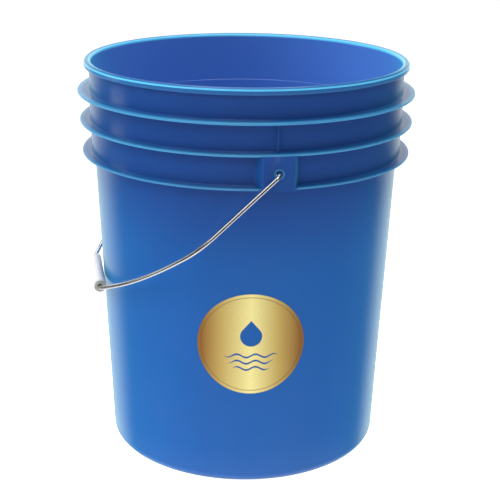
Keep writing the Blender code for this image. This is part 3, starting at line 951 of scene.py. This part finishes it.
def flat_label():
    """The die-cut foil, flat in X and Z, sliced into narrow upright strips so that it can bend."""
    outlines = [disc_outline(), drop_outline()]
    for k in range(WAVE_COUNT):
        outlines.append(wave_outline(WAVE_TOP - k * WAVE_SPACING, WAVE_HALF * (1 - WAVE_SHORTENING * k)))
    curve = bpy.data.curves.new("label", "CURVE")
    curve.dimensions = "2D"
    curve.fill_mode = "BOTH"
    for outline in outlines:
        spline = curve.splines.new("POLY")
        spline.points.add(len(outline) - 1)
        for point, (across, up) in zip(spline.points, outline):
            point.co = (across, up, 0.0, 1.0)
        spline.use_cyclic_u = True
    sheet = new_piece("label_sheet", curve)
    mesh = plain_mesh(sheet)
    bpy.data.objects.remove(sheet)
    mesh.transform(Matrix.Rotation(math.pi / 2, 4, "X"))
    shape = bmesh.new()
    shape.from_mesh(mesh)
    bmesh.ops.remove_doubles(shape, verts=shape.verts, dist=WELD)
    count = math.ceil(LABEL_RADIUS / STRIP)
    for k in range(-count, count + 1):
        everything = shape.verts[:] + shape.edges[:] + shape.faces[:]
        bmesh.ops.bisect_plane(
            shape, geom=everything, dist=WELD / 4, plane_co=(k * STRIP, 0, 0), plane_no=(1, 0, 0)
        )
    shape.to_mesh(mesh)
    shape.free()
    return mesh


def wrapping_tree():
    """Bends a flat sheet round the tapered wall, and keeps its flat place for the foil's shading."""
    sizes = {name: "Float" for name in ("Foot radius", "Slope", "Lift", "Turn", "Middle", "Reach")}
    tree, given = grow_tree("wrapped_on_wall", sizes)
    place = add(tree, "GeometryNodeInputPosition").outputs[0]
    parts = add(tree, "ShaderNodeSeparateXYZ", {0: place}).outputs
    across = calc(tree, "DIVIDE", parts[0], given["Reach"])
    up = calc(tree, "DIVIDE", parts[2], given["Reach"])
    flat = add(tree, "ShaderNodeCombineXYZ", {0: across, 1: up}).outputs[0]
    kept = add(
        tree,
        "GeometryNodeStoreNamedAttribute",
        {"Geometry": given["Shape"], "Name": "flat", "Value": flat},
        data_type="FLOAT_VECTOR",
    ).outputs[0]
    height = calc(tree, "ADD", parts[2], given["Middle"])
    wall = calc(tree, "ADD", given["Foot radius"], calc(tree, "MULTIPLY", given["Slope"], height))
    radius = calc(tree, "ADD", wall, given["Lift"])
    turn = calc(tree, "ADD", calc(tree, "DIVIDE", parts[0], radius), given["Turn"])
    side = calc(tree, "MULTIPLY", radius, calc(tree, "SINE", turn))
    deep = calc(tree, "MULTIPLY", calc(tree, "MULTIPLY", radius, calc(tree, "COSINE", turn)), -1.0)
    moved = add(tree, "ShaderNodeCombineXYZ", {0: side, 1: deep, 2: height}).outputs[0]
    bent = add(tree, "GeometryNodeSetPosition", {0: kept, "Position": moved}).outputs[0]
    end_tree(tree, bent, given["Finish"])
    return tree


def gold_foil():
    """Gold foil film: a painted reflection in soft upright stripes from bronze edges to a pale middle,
    fine brushing, and a darker bead just inside the cut edge."""
    finish = bpy.data.materials.new("gold_foil")
    finish.use_nodes = True
    tree = finish.node_tree
    shader = tree.nodes["Principled BSDF"]
    flat = add(tree, "ShaderNodeAttribute", attribute_name="flat").outputs["Vector"]
    parts = add(tree, "ShaderNodeSeparateXYZ", {0: flat}).outputs
    share = add(tree, "ShaderNodeMapRange", {"Value": parts[0], "From Min": -1.0, "From Max": 1.0})
    reflection_bands = add(tree, "ShaderNodeValToRGB", {0: share.outputs[0]})
    ramp = reflection_bands.color_ramp
    # Painted reflection: pale in the middle of the curved foil, bronze towards its edges.
    stops = (
        (0.04, (0.30, 0.125, 0.014, 1.0)),
        (0.22, (0.58, 0.40, 0.105, 1.0)),
        (0.50, (1.00, 0.90, 0.36, 1.0)),
        (0.76, (0.59, 0.41, 0.105, 1.0)),
        (0.97, (0.29, 0.115, 0.012, 1.0)),
    )
    while len(ramp.elements) < len(stops):
        ramp.elements.new(0.5)
    for element, (position, colour) in zip(ramp.elements, stops):
        element.position = position
        element.color = colour
    brushed = add(tree, "ShaderNodeMapping", {"Vector": flat, "Scale": (90.0, 3.0, 1.0)}).outputs[0]
    brush = add(tree, "ShaderNodeTexNoise", {"Vector": brushed, "Scale": 4.0, "Detail": 6.0})
    streak = add(
        tree,
        "ShaderNodeMapRange",
        {"Value": brush.outputs[0], "From Min": 0.35, "From Max": 0.65, "To Min": 0.0, "To Max": 0.16},
    )
    toned = add(
        tree,
        "ShaderNodeMix",
        {"Factor": streak.outputs[0], 6: reflection_bands.outputs[0], 7: (0.30, 0.17, 0.05, 1.0)},
        data_type="RGBA",
    )
    reach = add(tree, "ShaderNodeVectorMath", {0: flat}, operation="LENGTH").outputs["Value"]
    from_line = calc(tree, "ABSOLUTE", calc(tree, "SUBTRACT", reach, 0.935))
    line = add(
        tree,
        "ShaderNodeMapRange",
        {"Value": from_line, "From Min": 0.006, "From Max": 0.012, "To Min": 0.55, "To Max": 0.0},
    )
    lined = add(
        tree,
        "ShaderNodeMix",
        {"Factor": line.outputs[0], 6: toned.outputs[2], 7: (0.17, 0.085, 0.022, 1.0)},
        data_type="RGBA",
    )
    tree.links.new(lined.outputs[2], shader.inputs["Base Color"])
    rough = add(
        tree,
        "ShaderNodeMapRange",
        {"Value": brush.outputs[0], "From Min": 0.3, "From Max": 0.7, "To Min": 0.30, "To Max": 0.46},
    )
    tree.links.new(rough.outputs[0], shader.inputs["Roughness"])
    bump = add(tree, "ShaderNodeBump", {"Height": brush.outputs[0], "Strength": 0.1, "Distance": 0.0002})
    tree.links.new(bump.outputs[0], shader.inputs["Normal"])
    shader.inputs["Metallic"].default_value = 0.20
    return finish


label = new_piece("foil_label", flat_label())
wrap = label.modifiers.new("Wrap", "NODES")
wrap.node_group = wrapping_tree()
label_sizes = {
    "Foot radius": wall_radius(0.0),
    "Slope": WALL_TAPER / PAIL_HEIGHT,
    "Lift": LABEL_LIFT,
    "Turn": LABEL_TURN,
    "Middle": LABEL_MIDDLE,
    "Reach": LABEL_RADIUS,
    "Finish": gold_foil(),
}
for socket in wrap.node_group.interface.items_tree:
    if socket.in_out == "INPUT" and socket.name in label_sizes:
        wrap[socket.identifier] = label_sizes[socket.name]
label.data = plain_mesh(label)
shape = bmesh.new()
shape.from_mesh(label.data)
for face in shape.faces:
    if face.normal.xy.dot(face.calc_center_median().xy) < 0:
        face.normal_flip()
shape.to_mesh(label.data)
shape.free()
thicken = label.modifiers.new("Thickness", "SOLIDIFY")
thicken.thickness = LABEL_THICKNESS
thicken.offset = 1.0
label.data = plain_mesh(label)
label.data.set_sharp_from_angle(angle=CREASE)
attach(label, "pail")
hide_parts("label")

# ---------------------------------------------------------------------------------------------------
# Studio. A pale floor with a pool of light round the bucket, in a white cove that glows behind and
# below. Soft panels hang over the camera, overhead, at the left and before the bail's leg, and a broad
# light comes from each side.
# ---------------------------------------------------------------------------------------------------

FLOOR_SIZE = 8.0
FLOOR_DROP = 0.0002
CAMERA_PLACE = (-0.2008, -1.0922, 0.5621)
CAMERA_PITCH = math.radians(71.21)
CAMERA_TURN = math.radians(-10.69)
CAMERA_ROLL = math.radians(0.7345)
CAMERA_LENS = 85.85
CAMERA_FILM = 36.0
FLOOR_GLOW = 1.0
FLOOR_GLOW_LEAST = 0.12
POOL_FULL = 0.15
POOL_END = 0.65
COVE_WHITE = 1.0
COVE_FACING = (0.12, 0.99, 0.0)
COVE_GLOW = 1.0
COVE_WIDENING = 0.24
COVE_LOW = 1.0
COVE_DIM = 0.05
BROAD_SPREAD = math.radians(60)
WHITE = (1.0, 1.0, 1.0, 1.0)


def pale_floor():
    """Matt and nearly white, glowing round the bucket so that its shadow almost vanishes."""
    finish = bpy.data.materials.new("pale_floor")
    finish.use_nodes = True
    tree = finish.node_tree
    shader = tree.nodes["Principled BSDF"]
    place = add(tree, "ShaderNodeTexCoord").outputs["Object"]
    reach = add(tree, "ShaderNodeVectorMath", {0: place}, operation="LENGTH").outputs["Value"]
    near = smooth_step(tree, times(tree, reach, -1.0), -POOL_END, -POOL_FULL)
    pool = calc(tree, "MAXIMUM", times(tree, near, FLOOR_GLOW), FLOOR_GLOW_LEAST)
    tree.links.new(pool, shader.inputs["Emission Strength"])
    shader.inputs["Emission Color"].default_value = WHITE
    shader.inputs["Base Color"].default_value = (0.93, 0.93, 0.93, 1.0)
    shader.inputs["Roughness"].default_value = 0.9
    shader.inputs["Specular IOR Level"].default_value = 0.0
    return finish


def hung_lamp(lamp, place, aim):
    """Puts a lamp in place, facing a point."""
    stand = bpy.data.objects.new(lamp.name, lamp)
    stand.location = place
    stand.rotation_euler = (Vector(aim) - Vector(place)).to_track_quat("-Z", "Y").to_euler()
    stand.visible_camera = False
    bpy.context.scene.collection.objects.link(stand)
    return stand


def soft_panel(name, place, aim, width, height, power):
    lamp = bpy.data.lights.new(name, "AREA")
    lamp.shape = "RECTANGLE"
    lamp.size = width
    lamp.size_y = height
    lamp.energy = power
    return hung_lamp(lamp, place, aim)


def broad_light(name, azimuth, elevation, strength):
    """Even white light from one side of the room, kept out of what the gloss mirrors. Its azimuth is
    0 on the camera's side, -Y, and grows towards +X."""
    lamp = bpy.data.lights.new(name, "SUN")
    lamp.energy = strength
    lamp.angle = BROAD_SPREAD
    a, e = math.radians(azimuth), math.radians(elevation)
    place = Vector((math.sin(a) * math.cos(e), -math.cos(a) * math.cos(e), math.sin(e)))
    hung_lamp(lamp, place, (0.0, 0.0, 0.0)).visible_glossy = False


floor_shape = bmesh.new()
bmesh.ops.create_grid(floor_shape, x_segments=4, y_segments=4, size=FLOOR_SIZE / 2)
floor_mesh = bpy.data.meshes.new("floor")
floor_shape.to_mesh(floor_mesh)
floor_shape.free()
floor = new_piece("floor", floor_mesh)
floor.location.z = -FLOOR_DROP
floor.data.materials.append(pale_floor())
floor.visible_glossy = False

scene = bpy.context.scene
scene.view_settings.view_transform = "Standard"
cove = bpy.data.worlds.new("white_cove")
scene.world = cove
cove.use_nodes = True
tree = cove.node_tree
tree.nodes.clear()
seen = add(tree, "ShaderNodeLightPath").outputs["Is Camera Ray"]
facing = add(tree, "ShaderNodeTexCoord").outputs["Generated"]
behind = add(tree, "ShaderNodeVectorMath", {0: facing, 1: COVE_FACING}, operation="DOT_PRODUCT")
under = times(tree, add(tree, "ShaderNodeSeparateXYZ", {0: facing}).outputs[2], -1.0)
# The glow behind is wider low down, so the wall's sides shine more broadly than the neck's.
widening = times(tree, smooth_step(tree, under, 0.18, 0.34), COVE_WIDENING)
wide_behind = calc(tree, "ADD", behind.outputs["Value"], widening)
back_glow = times(tree, smooth_step(tree, wide_behind, 0.56, 0.96), COVE_GLOW)
low_glow = times(tree, smooth_step(tree, under, 0.48, 0.80), COVE_LOW)
glow = calc(tree, "MAXIMUM", calc(tree, "MAXIMUM", back_glow, low_glow), COVE_DIM)
lighting = add(tree, "ShaderNodeBackground", {"Color": WHITE, "Strength": glow})
backdrop = add(tree, "ShaderNodeBackground", {"Color": WHITE, "Strength": COVE_WHITE})
mixed = add(tree, "ShaderNodeMixShader", {0: seen, 1: lighting.outputs[0], 2: backdrop.outputs[0]})
add(tree, "ShaderNodeOutputWorld", {0: mixed.outputs[0]})

middle = (0.0, 0.0, PAIL_HEIGHT / 2)
broad_light("left_light", -103, 38, 2.48)
broad_light("right_light", 98, 42, 1.52)
soft_panel("front_panel", (-0.3, -1.5, 1.6), middle, 1.2, 0.8, 10.5)
soft_panel("overhead_panel", (0.0, 0.3, 1.9), middle, 1.4, 1.4, 14.5)
soft_panel("left_panel", (-1.59, 0.61, 0.6), middle, 0.5, 1.3, 2.0)
soft_panel("wire_panel", (-1.2, -1.0, 1.2), middle, 1.0, 1.0, 4.0)

camera_data = bpy.data.cameras.new("camera")
camera_data.lens = CAMERA_LENS
camera_data.sensor_width = CAMERA_FILM
camera = bpy.data.objects.new("camera", camera_data)
camera.matrix_world = (
    Matrix.Translation(CAMERA_PLACE)
    @ Matrix.Rotation(CAMERA_TURN, 4, "Z")
    @ Matrix.Rotation(CAMERA_PITCH, 4, "X")
    @ Matrix.Rotation(CAMERA_ROLL, 4, "Z")
)
scene.collection.objects.link(camera)
scene.camera = camera
